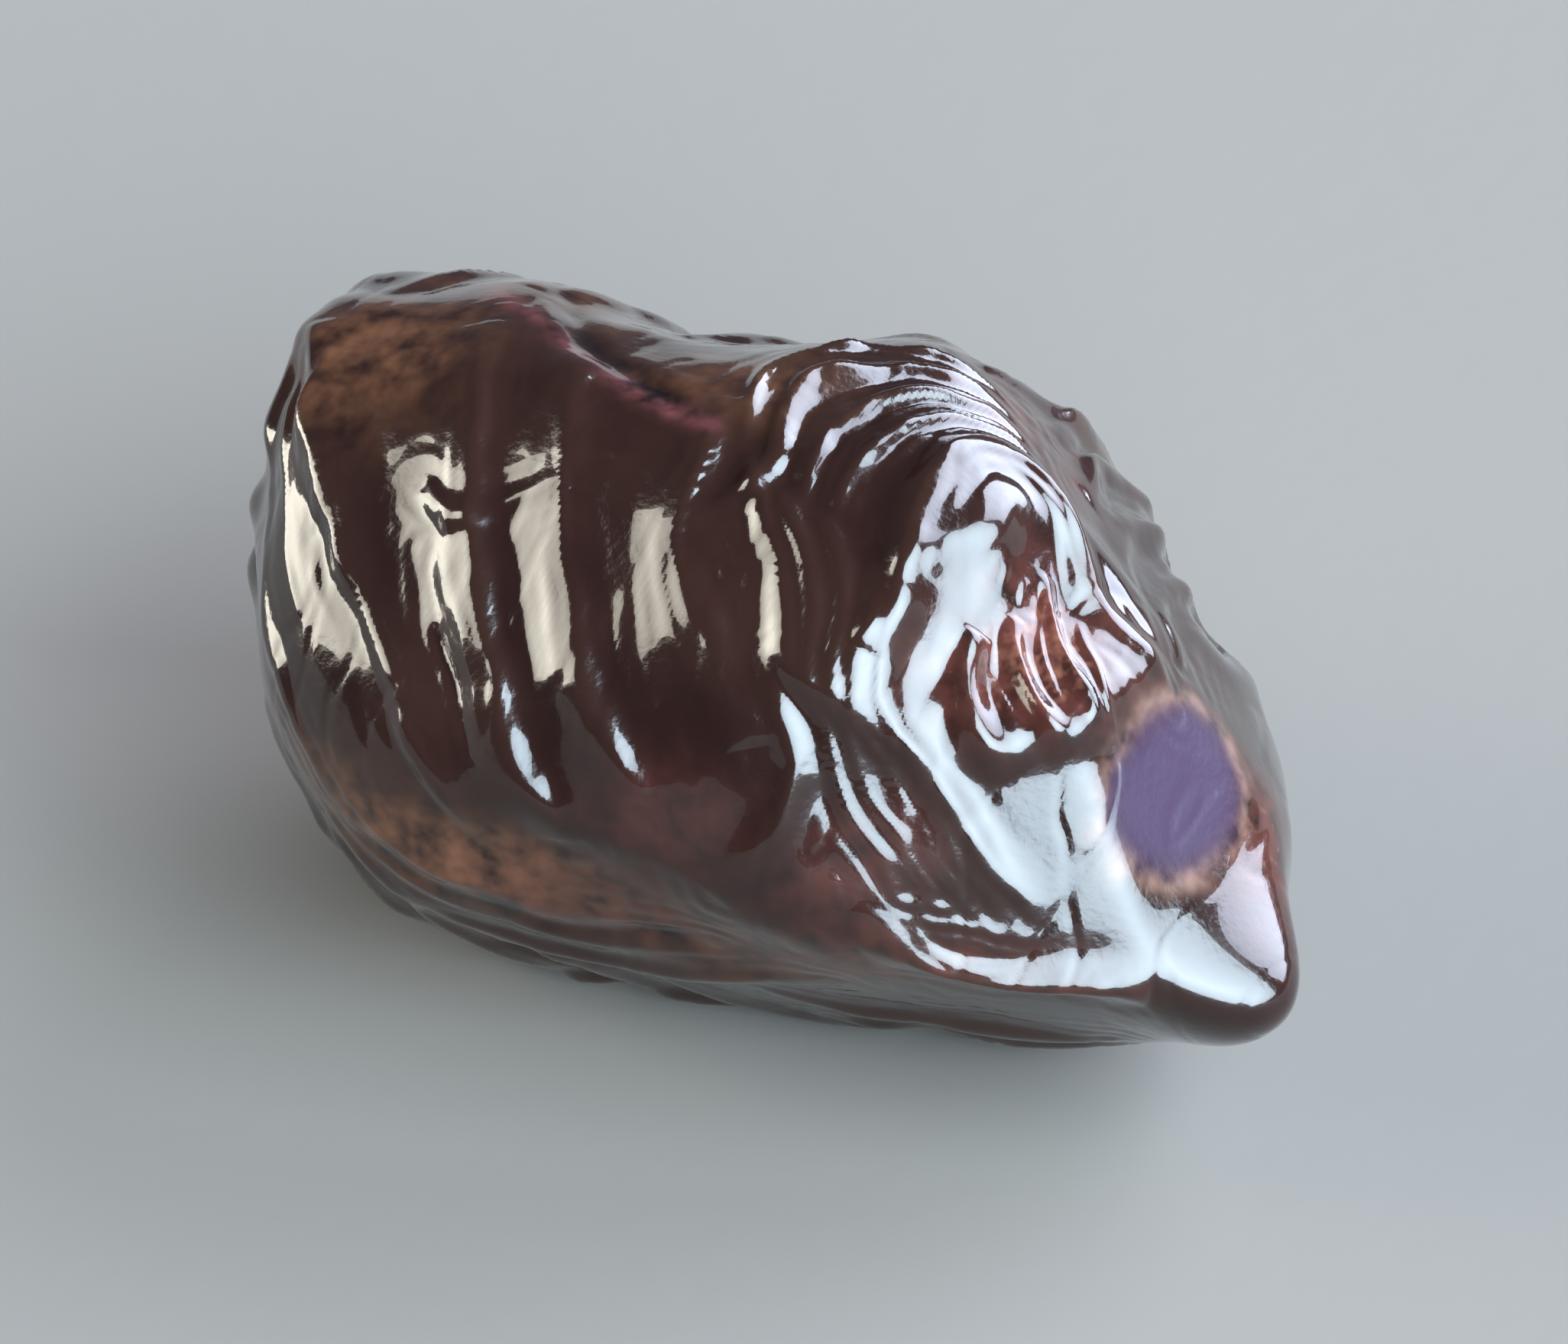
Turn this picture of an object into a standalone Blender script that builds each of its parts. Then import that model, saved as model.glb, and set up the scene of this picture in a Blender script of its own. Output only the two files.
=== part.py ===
"""A cured black olive lying on its side, one closed solid with its wrinkles as real relief.

The fruit is shaped in its own frame, in millimetres. x runs from the stalk end to the tip. An angle round the
fruit is 0 degrees at the middle of its best face and 90 degrees at the edge above that face. Every hollow and
fold is placed by x and that angle. The finished fruit is rolled, tilted, set down and flattened a little
where it rests.
"""

import math

import bmesh
import bpy
import numpy as np
from mathutils import Matrix, Vector, noise

MM = 0.001

# Plump body, in millimetres: the line through its middle is a slight S, and the tip is a blunt nub
HALF_LENGTH = 13.3
GIRTH_RADIUS = 8.15
FULLNESS = 2.5
SPINE_SLOPE = 0.17
SPINE_BEND = 0.00165
NUB_AT = (13.1, 0.4, -2.4)
NUB_HEIGHT = 1.4
NUB_RADIUS = 1.8

# Stalk end: a saucer with a raised lip, puckers round it and the scar of the stalk in its middle
STALK_REACH = 2.5
SAUCER_RADIUS = 2.6
SAUCER_DEPTH = 0.9
LIP_AT = 3.5
LIP_WIDTH = 0.8
LIP_HEIGHT = 0.25
PUCKERS = 9
PUCKERS_AT = 3.9
PUCKERS_WIDTH = 1.9
PUCKER_HEIGHT = 0.14
PUCKER_SHIFT = 1.5
SCAR_RADIUS = 0.75
SCAR_DEPTH = 0.35

# Resting pose, in degrees, and the flat spot that the fruit's weight has pressed: its x and angle, how far
# the folds are pressed out round it along and across the fruit, and the depth of the cut that levels it
FACE_RISE = 40.0
TIP_DROP = 5.0
FOOT_AT = (-1.0, 229)
FOOT_REACH = (6.0, 4.0)
FOOT_DEPTH = 0.18

# Mesh: cells along a side of the cube that the ball is cut from, and triangles left after thinning
BALL_CELLS = 80
SOLID_TRIANGLES = 9600

# Sides that fell flat as the flesh shrank: x, angle, depth, softness of the edge
FLATS = (
    (-4.8, 6, 0.65, 0.40),
    (9.4, -12, 1.10, 0.25),
    (11.8, 27, 1.10, 0.12),
    (8.8, 86, 1.90, 0.60),
    (-12.6, -42, 1.10, 0.80),
    (-8.5, -78, 0.80, 0.70),
    (9.5, -80, 1.10, 0.50),
    (-1.0, -86, 0.95, 0.60),
    (1.0, 158, 0.90, 0.40),
    (-7.5, 205, 0.70, 0.35),
    (6.5, -150, 0.40, 0.45),
    (*FOOT_AT, 0.60, 0.22),
)

# Hollows: x, angle, half length, half breadth, turn of the long side from the fruit's axis, depth
HOLLOWS = (
    (8.0, 30, 3.0, 1.8, -58, 1.00),
    (-3.2, 88, 3.2, 4.4, 0, 0.75),
    (0.5, -48, 3.8, 1.7, 10, 0.40),
    (5.5, 192, 3.6, 2.0, 25, 0.95),
    (-4.5, 142, 3.0, 2.0, 60, 0.75),
    (-7.6, 238, 2.2, 1.6, -15, 0.60),
    (8.0, 128, 2.6, 1.6, 40, 0.70),
    (-8.8, 262, 2.2, 1.7, 0, 0.65),
)
HOLLOW_EDGE = 2.6
HOLLOW_RIM = 0.22
HOLLOW_RIM_AT = 1.45
HOLLOW_RIM_WIDTH = 0.35

# Single folds: height (a crease is negative), half widths on the right and left hand of a walk along it on
# the outside, then points of x and angle
FOLDS = (
    (0.12, 0.40, 0.40, ((-12.2, 30), (-11.5, -2), (-9.8, -23), (-8.1, -33), (-6.4, -42))),
    (0.26, 0.40, 1.10,
     ((-11.4, 44), (-11.0, 28), (-9.8, 15), (-8.6, 5), (-7.3, -5), (-5.3, -17), (-3.4, -30), (-2.1, -42))),
    (0.32, 1.30, 0.50,
     ((-6.9, 52), (-6.2, 38), (-5.4, 22), (-4.6, 11), (-3.7, -1), (-2.6, -10), (-1.5, -23), (-0.4, -36))),
    (0.12, 0.35, 0.35, ((-6.6, 16), (-5.4, 14), (-3.8, 20), (-2.6, 26))),
    (-0.12, 0.20, 0.30, ((-5.8, 6), (-4.6, -6), (-3.4, -16), (-2.6, -24))),
    (0.30, 0.95, 0.45,
     ((-4.0, 50), (-3.7, 38), (-3.4, 27), (-2.8, 15), (-1.9, 5), (-0.9, -5), (0.3, -15), (1.2, -24))),
    (0.32, 1.10, 0.45, ((-0.5, 44), (-0.3, 28), (0.5, 14), (1.5, 5), (2.5, -3), (3.5, -13))),
    (0.15, 0.40, 0.40, ((1.4, 40), (0.7, 28), (0.1, 18))),
    (0.22, 0.60, 0.60, ((2.9, 2), (3.9, -8), (4.6, -16), (4.2, -28), (3.2, -40))),
    (0.45, 0.80, 0.50,
     ((4.9, 6), (4.8, 18), (4.4, 33), (4.5, 45), (5.4, 54), (6.8, 58), (8.2, 57), (9.6, 53), (11.2, 50))),
    (0.30, 0.42, 0.42, ((6.9, 20), (7.0, 13), (7.6, 5), (8.9, -2))),
    (0.28, 0.40, 0.40, ((7.6, 28), (7.9, 21), (8.8, 12), (9.6, 6))),
    (0.26, 0.40, 0.40, ((7.8, 44), (8.9, 33), (9.6, 26), (10.1, 20))),
    (0.40, 0.80, 0.80, ((6.2, -38), (7.6, -47), (9.0, -49), (10.6, -46), (12.2, -42))),
    (-0.16, 0.50, 0.50, ((-7.4, 84), (-5.0, 58), (-2.8, 47), (-1.2, 40))),
    (0.24, 0.60, 0.60, ((-7.0, -55), (-4.0, -66), (-1.0, -72), (2.5, -72), (5.5, -66))),
    (-0.20, 0.50, 0.50, ((-5.5, -48), (-3.0, -56), (0.0, -60), (3.0, -58))),
)

# Families of folds: count, height, half widths, the first fold and the last, with like numbers of points
FAMILIES = (
    (5, 0.24, 0.34, 0.46, ((0.4, 36), (2.0, 18), (3.4, 2), (4.7, -6), (5.8, -18), (7.2, -30)),
     ((4.9, 18), (5.6, 6), (6.4, -3), (7.6, -10), (8.8, -18), (10.2, -26))),
    (4, 0.18, 0.30, 0.36, ((0.2, 36), (-0.3, 52), (0.6, 66), (2.6, 74), (5.0, 76)),
     ((3.0, 28), (2.9, 42), (3.7, 53), (5.2, 62), (6.8, 66))),
    (5, 0.26, 0.55, 0.75, ((-10.6, 66), (-9.4, 84), (-8.6, 104), (-8.8, 124)),
     ((3.0, 84), (4.4, 98), (4.8, 116), (3.6, 134))),
    (5, 0.26, 0.50, 0.70, ((-10.0, -50), (-8.6, -72), (-7.4, -94), (-6.8, -116)),
     ((0.6, -84), (2.2, -98), (4.4, -112), (6.0, -128))),
    (4, 0.24, 0.50, 0.65, ((-9.6, 150), (-5.0, 168), (0.0, 172), (4.8, 160)),
     ((-9.4, 222), (-5.0, 214), (0.5, 206), (5.6, 214))),
    (4, 0.24, 0.46, 0.60, ((3.4, -82), (6.0, -86), (8.6, -92), (10.8, -104)),
     ((4.6, -140), (7.0, -136), (9.2, -136), (11.2, -146))),
    (4, 0.24, 0.46, 0.60, ((10.8, 70), (9.4, 88), (9.0, 106), (9.8, 128)),
     ((5.8, 88), (4.6, 108), (5.4, 132), (7.4, 150))),
    (4, 0.26, 0.50, 0.65, ((8.8, 166), (9.6, 190), (8.8, 214), (6.6, 232)),
     ((3.6, 246), (0.2, 258), (-3.6, 256), (-6.6, 240))),
)
FOLD_STEPS = 5
FOLD_VALLEY = 0.7

# Unevenness: amount, the span over which it changes, and where in the noise it is read. Folds wander and
# tremble sideways, and swell and fade along their length. The body's own surface waves a little
WANDER = (0.45, 3.2, 0.0)
TREMOR = (0.12, 1.1, 7.0)
SWELL = (0.9, 3.6, 19.0)
WAVES = (0.10, 2.1, 43.0)
NOISE_APART = 31.7


def ball(cells):
    """A ball cut from a cube, its sides ruled at equal angles so that all its faces are near one size."""
    bm = bmesh.new()
    bmesh.ops.create_cube(bm, size=2)
    bmesh.ops.subdivide_edges(bm, edges=bm.edges[:], cuts=cells - 1, use_grid_fill=True)
    for vert in bm.verts:
        vert.co = Vector(math.tan(side * math.pi / 4) for side in vert.co).normalized()
    return bm


def spine(x):
    """Height of the fruit's middle line: a slight S from end to end."""
    return SPINE_SLOPE * x - SPINE_BEND * x**3


def on_body(x, angle):
    """Points of the plump body at x and at angles round it. Its ends are fuller than an ellipse's."""
    radius = GIRTH_RADIUS * np.sqrt(np.clip(1 - np.abs(x / HALF_LENGTH) ** FULLNESS, 0, 1))
    turn = np.radians(angle)
    return np.stack([x + 0 * turn, radius * np.cos(turn), spine(x) + radius * np.sin(turn)], -1)


def outward(points):
    """Normals of the plump body at points on it."""
    x, face, rise = points.T
    lift = rise - spine(x)
    slope = SPINE_SLOPE - 3 * SPINE_BEND * x**2
    across = 2 / GIRTH_RADIUS**2
    along = np.sign(x) * FULLNESS * np.abs(x / HALF_LENGTH) ** (FULLNESS - 1) / HALF_LENGTH
    normal = np.stack([along - lift * slope * across, face * across, lift * across], -1)
    return normal / np.linalg.norm(normal, axis=1, keepdims=True)


def murmur(points, amount, span, place):
    """Smooth noise between plus and minus the amount."""
    return amount * np.array([noise.noise(Vector(point)) for point in points / span + place])


def drift(points, amount, span, place):
    """Three murmurs side by side, as vectors."""
    places = [place + i * NOISE_APART for i in range(3)]
    return np.stack([murmur(points, amount, span, own) for own in places], -1)


def fold_path(knots):
    """Points on the body along a smooth curve through pairs of x and angle."""
    knots = np.array(knots, float)
    ends = np.vstack([2 * knots[0] - knots[1], knots, 2 * knots[-1] - knots[-2]])
    t = np.arange(FOLD_STEPS)[:, None] / FOLD_STEPS
    spans = []
    for a, b, c, d in zip(ends, ends[1:], ends[2:], ends[3:]):
        bend = (2 * a - 5 * b + 4 * c - d) * t**2 + (3 * b - a - 3 * c + d) * t**3
        spans.append((2 * b + (c - a) * t + bend) / 2)
    x, angle = np.vstack([*spans, knots[-1:]]).T
    return on_body(x, angle)


def nearest(points, normals, path):
    """Distance of each point from the path, its share of the way along, and whether it is on the right."""
    start, run = path[:-1], np.diff(path, axis=0)
    offset = points[:, None, :] - start
    share = np.clip((offset * run).sum(2) / (run**2).sum(1), 0, 1)
    gap = np.linalg.norm(offset - share[:, :, None] * run, axis=2)
    best = gap.argmin(1)
    row = np.arange(len(points))
    on_right = (np.cross(normals, run[best]) * offset[row, best]).sum(1) > 0
    return gap[row, best], (best + share[row, best]) / len(run), on_right


def fold_relief(points, normals, height, right, left, knots):
    """A rounded fold with a shallow valley on each side, which fades towards its ends."""
    path = fold_path(knots)
    reach = 3 * max(right, left)
    near = ((points > path.min(0) - reach) & (points < path.max(0) + reach)).all(1)
    gap, along, on_right = nearest(points[near], normals[near], path)
    across = (gap / np.where(on_right, right, left)) ** 2
    relief = np.zeros(len(points))
    relief[near] = height * np.sqrt(np.sin(np.pi * along)) * (1 - FOLD_VALLEY * across) * np.exp(-across)
    return relief


def family_folds(count, height, right, left, first, last):
    """Folds in even steps from the first to the last."""
    first, last = np.array(first, float), np.array(last, float)
    return [(height, right, left, first + (last - first) * i / (count - 1)) for i in range(count)]


def folds_relief(points, normals):
    """The relief of every fold together."""
    members = [fold for family in FAMILIES for fold in family_folds(*family)]
    return sum(fold_relief(points, normals, *fold) for fold in [*FOLDS, *members])


def press_flats(points):
    """Pushes each flat side in to a plane, with a soft edge round it."""
    for x, angle, depth, softness in FLATS:
        centre = on_body(np.array([x]), np.array([angle]))
        normal = outward(centre)[0]
        above = ((points - centre[0]) @ normal + depth) / softness
        points = points - np.outer(softness * np.logaddexp(0, above), normal)
    return points


def hollows_relief(points):
    """Oval hollows, each with a soft rim that stands a little proud."""
    relief = np.zeros(len(points))
    for x, angle, length, breadth, turn, depth in HOLLOWS:
        centre = on_body(np.array([x]), np.array([angle]))
        normal = outward(centre)[0]
        along = np.array([1.0, 0, 0]) - normal[0] * normal
        along /= np.linalg.norm(along)
        aside = np.cross(normal, along)
        c, s = math.cos(math.radians(turn)), math.sin(math.radians(turn))
        offset = points - centre[0]
        u = offset @ (c * along + s * aside) / length
        v = offset @ (c * aside - s * along) / breadth
        w = offset @ normal / max(length, breadth)
        out = np.sqrt(u**2 + v**2 + w**2)
        rim = HOLLOW_RIM * np.exp(-(((out - HOLLOW_RIM_AT) / HOLLOW_RIM_WIDTH) ** 2))
        relief += depth * (rim - np.exp(-(out**HOLLOW_EDGE)))
    return relief


def stalk_relief(points):
    """The saucer at the stalk end, its lip, the puckers that run into it and the scar."""
    offset = points - on_body(np.array([-HALF_LENGTH]), np.array([0.0]))[0]
    out = np.hypot(offset[:, 1], offset[:, 2])
    turn = np.arctan2(offset[:, 2], offset[:, 1])
    here = np.exp(-((np.maximum(0, offset[:, 0] - 1) / STALK_REACH) ** 2)) * (points[:, 0] < 0)
    saucer = -SAUCER_DEPTH * np.exp(-((out / SAUCER_RADIUS) ** 3))
    lip = LIP_HEIGHT * np.exp(-(((out - LIP_AT) / LIP_WIDTH) ** 2))
    ring = np.exp(-(((out - PUCKERS_AT) / PUCKERS_WIDTH) ** 2))
    pucker = PUCKER_HEIGHT * ring * np.cos(PUCKERS * turn + PUCKER_SHIFT * np.sin(2 * turn + 1))
    scar = -SCAR_DEPTH * np.exp(-((out / SCAR_RADIUS) ** 4))
    return here * (saucer + lip + pucker + scar)


def nub_relief(points):
    """The nub at the tip."""
    return NUB_HEIGHT * np.exp(-((points - np.array(NUB_AT)) ** 2).sum(1) / NUB_RADIUS**2)


def off_foot(points):
    """1 away from the spot where the fruit rests, falling to 0 on it."""
    x, angle = FOOT_AT
    offset = points - on_body(np.array([x]), np.array([angle]))[0]
    along, across = offset[:, 0] / FOOT_REACH[0], np.hypot(offset[:, 1], offset[:, 2]) / FOOT_REACH[1]
    return 1 - np.exp(-((along**2 + across**2) ** 2))


def skin(directions):
    """Points of the shrunken skin, in the fruit's own frame, for directions out from its middle."""
    x = HALF_LENGTH * directions[:, 0]
    plump = on_body(x, np.degrees(np.arctan2(directions[:, 2], directions[:, 1])))
    normals = outward(plump)
    wandered = plump + drift(plump, *WANDER) + drift(plump, *TREMOR)
    folds = folds_relief(wandered, normals) * (1 + murmur(plump, *SWELL))
    relief = folds + hollows_relief(wandered) + stalk_relief(plump) + nub_relief(plump)
    waves, free = murmur(plump, *WAVES), off_foot(plump)
    return press_flats(plump + normals * (waves * free)[:, None]) + normals * (relief * free)[:, None]


def rest_pose():
    """Rolls the best face up towards the front and drops the tip, in the row's frame with +Z up."""
    roll = Matrix.Rotation(math.radians(-FACE_RISE), 3, "X")
    tilt = Matrix.Rotation(math.radians(TIP_DROP), 3, "Y")
    face_to_front = Matrix(((1, 0, 0), (0, -1, 0), (0, 0, 1)))
    return np.array(tilt @ roll @ face_to_front)


def turn_outward(bm):
    """Turns every face so that its front is outside."""
    bm.normal_update()
    bmesh.ops.recalc_face_normals(bm, faces=bm.faces[:])


def olive_form(cells):
    """The olive at rest as a bmesh, in metres, sunk so that its lowest part is below z = 0."""
    bm = ball(cells)
    points = skin(np.array([vert.co for vert in bm.verts])) @ rest_pose().T
    middle = (points.max(0) + points.min(0)) / 2
    floor = points[:, 2].min() + FOOT_DEPTH
    points = (points - np.array([middle[0], middle[1], floor])) * MM
    for vert, point in zip(bm.verts, points):
        vert.co = point
    turn_outward(bm)
    return bm


def cut_foot(bm):
    """Cuts the form at z = 0 and closes the cut with one flat face."""
    everything = bm.verts[:] + bm.edges[:] + bm.faces[:]
    level = {"plane_co": (0, 0, 0), "plane_no": (0, 0, -1)}
    cut = bmesh.ops.bisect_plane(bm, geom=everything, clear_outer=True, **level)
    rim = [edge for edge in cut["geom_cut"] if isinstance(edge, bmesh.types.BMEdge)]
    bmesh.ops.contextual_create(bm, geom=rim)
    turn_outward(bm)


def skin_material():
    """Cured olive skin: near black with a red-brown cast, shiny with oil."""
    material = bpy.data.materials.new("olive skin")
    material.use_nodes = True
    shader = material.node_tree.nodes["Principled BSDF"]
    shader.inputs["Base Color"].default_value = (0.040, 0.017, 0.016, 1)
    shader.inputs["Roughness"].default_value = 0.16
    shader.inputs["Metallic"].default_value = 0.0
    return material


def make_olive():
    """The one solid: the flat-footed form, thinned to keep most of its faces in the folds."""
    bm = olive_form(BALL_CELLS)
    cut_foot(bm)
    bmesh.ops.triangulate(bm, faces=bm.faces[:])
    faces = len(bm.faces)
    mesh = bpy.data.meshes.new("olive")
    bm.to_mesh(mesh)
    bm.free()
    mesh.materials.append(skin_material())
    mesh.shade_smooth()
    olive = bpy.data.objects.new("olive", mesh)
    bpy.context.scene.collection.objects.link(olive)
    thin = olive.modifiers.new("Thin", "DECIMATE")
    thin.ratio = SOLID_TRIANGLES / faces
    return olive


def main():
    for old in list(bpy.data.objects):
        bpy.data.objects.remove(old)
    make_olive()


if __name__ == "__main__":
    main()
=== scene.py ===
"""The looks of a cured black olive: its wrinkled, oily skin, on a pale floor in soft window light.

The skin follows the same rules as the solid that it covers, on a finer mesh. It adds finer folds, and
wrinkles finer still by Geometry Nodes. It is shaped in the fruit's own frame, in millimetres. x runs from the
stalk end to the tip. An angle round the fruit is 0 degrees at the middle of its best face and 90 degrees at
the edge above that face.
"""

import math

import bmesh
import bpy
import numpy as np
from mathutils import Matrix, Quaternion, Vector, noise


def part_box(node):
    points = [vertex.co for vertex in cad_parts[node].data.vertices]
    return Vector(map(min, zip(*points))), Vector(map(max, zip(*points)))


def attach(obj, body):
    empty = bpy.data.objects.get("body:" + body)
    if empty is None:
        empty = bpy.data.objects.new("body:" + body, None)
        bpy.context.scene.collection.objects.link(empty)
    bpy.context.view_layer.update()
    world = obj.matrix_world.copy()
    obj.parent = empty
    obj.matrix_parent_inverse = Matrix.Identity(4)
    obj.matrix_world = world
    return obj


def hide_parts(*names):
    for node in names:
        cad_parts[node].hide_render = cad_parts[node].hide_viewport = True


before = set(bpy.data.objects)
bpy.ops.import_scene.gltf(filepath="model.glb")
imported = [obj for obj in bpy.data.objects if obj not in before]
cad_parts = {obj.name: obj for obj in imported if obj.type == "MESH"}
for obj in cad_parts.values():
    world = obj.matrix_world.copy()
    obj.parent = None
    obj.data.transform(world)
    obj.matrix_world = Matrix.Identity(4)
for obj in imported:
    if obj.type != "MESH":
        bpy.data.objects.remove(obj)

bl_info = {
    "name": "Cured black olive",
    "version": (1, 0, 0),
    "blender": (4, 5, 0),
    "location": "3D View > Sidebar > Olive",
    "description": "Makes a cured black olive with a wrinkled, oily skin, and a plain stage for it",
    "category": "Object",
}

MM = 0.001
NODE = "olive"

# The mesh's cells crowd towards the tip half of the best face, in this direction and by this share
DENSE_TOWARDS = (0.45, 0.80, 0.40)
DENSE_SHARE = 0.38

# Plump body, in millimetres: the line through its middle is a slight S, and the tip is a blunt nub
HALF_LENGTH = 13.3
GIRTH_RADIUS = 8.15
FULLNESS = 2.5
SPINE_SLOPE = 0.17
SPINE_BEND = 0.00165
NUB_AT = (13.1, 0.4, -2.4)
NUB_HEIGHT = 1.4
NUB_RADIUS = 1.8

# Stalk end: a saucer with a raised lip, puckers round it and the scar of the stalk in its middle. It is full
# up to one distance from the end and fades past it. The larger its number, the steeper an edge
STALK_FULL = 1
STALK_REACH = 2.5
SAUCER_RADIUS = 2.6
SAUCER_EDGE = 3
SAUCER_DEPTH = 0.9
LIP_AT = 3.5
LIP_WIDTH = 0.8
LIP_HEIGHT = 0.25
PUCKERS = 9
PUCKERS_AT = 3.9
PUCKERS_WIDTH = 1.9
PUCKER_HEIGHT = 0.14
PUCKER_SHIFT = 1.5
SCAR_RADIUS = 0.75
SCAR_EDGE = 4
SCAR_DEPTH = 0.35

# Resting pose, in degrees, and the flat spot that the fruit's weight has pressed: its x and angle, and how
# far the folds are pressed out round it along and across the fruit
FACE_RISE = 40.0
TIP_DROP = 5.0
FOOT_AT = (-1.0, 229)
FOOT_REACH = (6.0, 4.0)

# Sides that fell flat as the flesh shrank: x, angle, depth, softness of the edge
FLATS = (
    (-4.8, 6, 0.65, 0.40),
    (9.4, -12, 1.10, 0.25),
    (11.8, 27, 1.10, 0.12),
    (8.8, 86, 1.90, 0.60),
    (-12.6, -42, 1.10, 0.80),
    (-8.5, -78, 0.80, 0.70),
    (9.5, -80, 1.10, 0.50),
    (-1.0, -86, 0.95, 0.60),
    (1.0, 158, 0.90, 0.40),
    (-7.5, 205, 0.70, 0.35),
    (6.5, -150, 0.40, 0.45),
    (*FOOT_AT, 0.60, 0.22),
)

# Hollows: x, angle, half length, half breadth, turn of the long side from the fruit's axis, depth
HOLLOWS = (
    (8.0, 30, 3.0, 1.8, -58, 1.00),
    (-3.2, 88, 3.2, 4.4, 0, 0.75),
    (0.5, -48, 3.8, 1.7, 10, 0.40),
    (5.5, 192, 3.6, 2.0, 25, 0.95),
    (-4.5, 142, 3.0, 2.0, 60, 0.75),
    (-7.6, 238, 2.2, 1.6, -15, 0.60),
    (8.0, 128, 2.6, 1.6, 40, 0.70),
    (-8.8, 262, 2.2, 1.7, 0, 0.65),
)

# How steep a hollow's edge is, and the rim round it: its height for the hollow's depth, its place, where the
# hollow's edge is 1, and its width
HOLLOW_EDGE = 2.6
HOLLOW_RIM = 0.22
HOLLOW_RIM_AT = 1.45
HOLLOW_RIM_WIDTH = 0.35

# Single folds: height (a crease is negative), half widths on the right and left hand of a walk along it on
# the outside, then points of x and angle
FOLDS = (
    (0.12, 0.40, 0.40, ((-12.2, 30), (-11.5, -2), (-9.8, -23), (-8.1, -33), (-6.4, -42))),
    (0.26, 0.40, 1.10,
     ((-11.4, 44), (-11.0, 28), (-9.8, 15), (-8.6, 5), (-7.3, -5), (-5.3, -17), (-3.4, -30), (-2.1, -42))),
    (0.32, 1.30, 0.50,
     ((-6.9, 52), (-6.2, 38), (-5.4, 22), (-4.6, 11), (-3.7, -1), (-2.6, -10), (-1.5, -23), (-0.4, -36))),
    (0.12, 0.35, 0.35, ((-6.6, 16), (-5.4, 14), (-3.8, 20), (-2.6, 26))),
    (-0.12, 0.20, 0.30, ((-5.8, 6), (-4.6, -6), (-3.4, -16), (-2.6, -24))),
    (0.30, 0.95, 0.45,
     ((-4.0, 50), (-3.7, 38), (-3.4, 27), (-2.8, 15), (-1.9, 5), (-0.9, -5), (0.3, -15), (1.2, -24))),
    (0.32, 1.10, 0.45, ((-0.5, 44), (-0.3, 28), (0.5, 14), (1.5, 5), (2.5, -3), (3.5, -13))),
    (0.15, 0.40, 0.40, ((1.4, 40), (0.7, 28), (0.1, 18))),
    (0.22, 0.60, 0.60, ((2.9, 2), (3.9, -8), (4.6, -16), (4.2, -28), (3.2, -40))),
    (0.45, 0.80, 0.50,
     ((4.9, 6), (4.8, 18), (4.4, 33), (4.5, 45), (5.4, 54), (6.8, 58), (8.2, 57), (9.6, 53), (11.2, 50))),
    (0.30, 0.42, 0.42, ((6.9, 20), (7.0, 13), (7.6, 5), (8.9, -2))),
    (0.28, 0.40, 0.40, ((7.6, 28), (7.9, 21), (8.8, 12), (9.6, 6))),
    (0.26, 0.40, 0.40, ((7.8, 44), (8.9, 33), (9.6, 26), (10.1, 20))),
    (0.40, 0.80, 0.80, ((6.2, -38), (7.6, -47), (9.0, -49), (10.6, -46), (12.2, -42))),
    (-0.16, 0.50, 0.50, ((-7.4, 84), (-5.0, 58), (-2.8, 47), (-1.2, 40))),
    (0.24, 0.60, 0.60, ((-7.0, -55), (-4.0, -66), (-1.0, -72), (2.5, -72), (5.5, -66))),
    (-0.20, 0.50, 0.50, ((-5.5, -48), (-3.0, -56), (0.0, -60), (3.0, -58))),
)

# Families of folds: count, height, half widths, the first fold and the last, with like numbers of points
FAMILIES = (
    (5, 0.24, 0.34, 0.46, ((0.4, 36), (2.0, 18), (3.4, 2), (4.7, -6), (5.8, -18), (7.2, -30)),
     ((4.9, 18), (5.6, 6), (6.4, -3), (7.6, -10), (8.8, -18), (10.2, -26))),
    (4, 0.18, 0.30, 0.36, ((0.2, 36), (-0.3, 52), (0.6, 66), (2.6, 74), (5.0, 76)),
     ((3.0, 28), (2.9, 42), (3.7, 53), (5.2, 62), (6.8, 66))),
    (5, 0.26, 0.55, 0.75, ((-10.6, 66), (-9.4, 84), (-8.6, 104), (-8.8, 124)),
     ((3.0, 84), (4.4, 98), (4.8, 116), (3.6, 134))),
    (5, 0.26, 0.50, 0.70, ((-10.0, -50), (-8.6, -72), (-7.4, -94), (-6.8, -116)),
     ((0.6, -84), (2.2, -98), (4.4, -112), (6.0, -128))),
    (4, 0.24, 0.50, 0.65, ((-9.6, 150), (-5.0, 168), (0.0, 172), (4.8, 160)),
     ((-9.4, 222), (-5.0, 214), (0.5, 206), (5.6, 214))),
    (4, 0.24, 0.46, 0.60, ((3.4, -82), (6.0, -86), (8.6, -92), (10.8, -104)),
     ((4.6, -140), (7.0, -136), (9.2, -136), (11.2, -146))),
    (4, 0.24, 0.46, 0.60, ((10.8, 70), (9.4, 88), (9.0, 106), (9.8, 128)),
     ((5.8, 88), (4.6, 108), (5.4, 132), (7.4, 150))),
    (4, 0.26, 0.50, 0.65, ((8.8, 166), (9.6, 190), (8.8, 214), (6.6, 232)),
     ((3.6, 246), (0.2, 258), (-3.6, 256), (-6.6, 240))),
)

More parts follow.
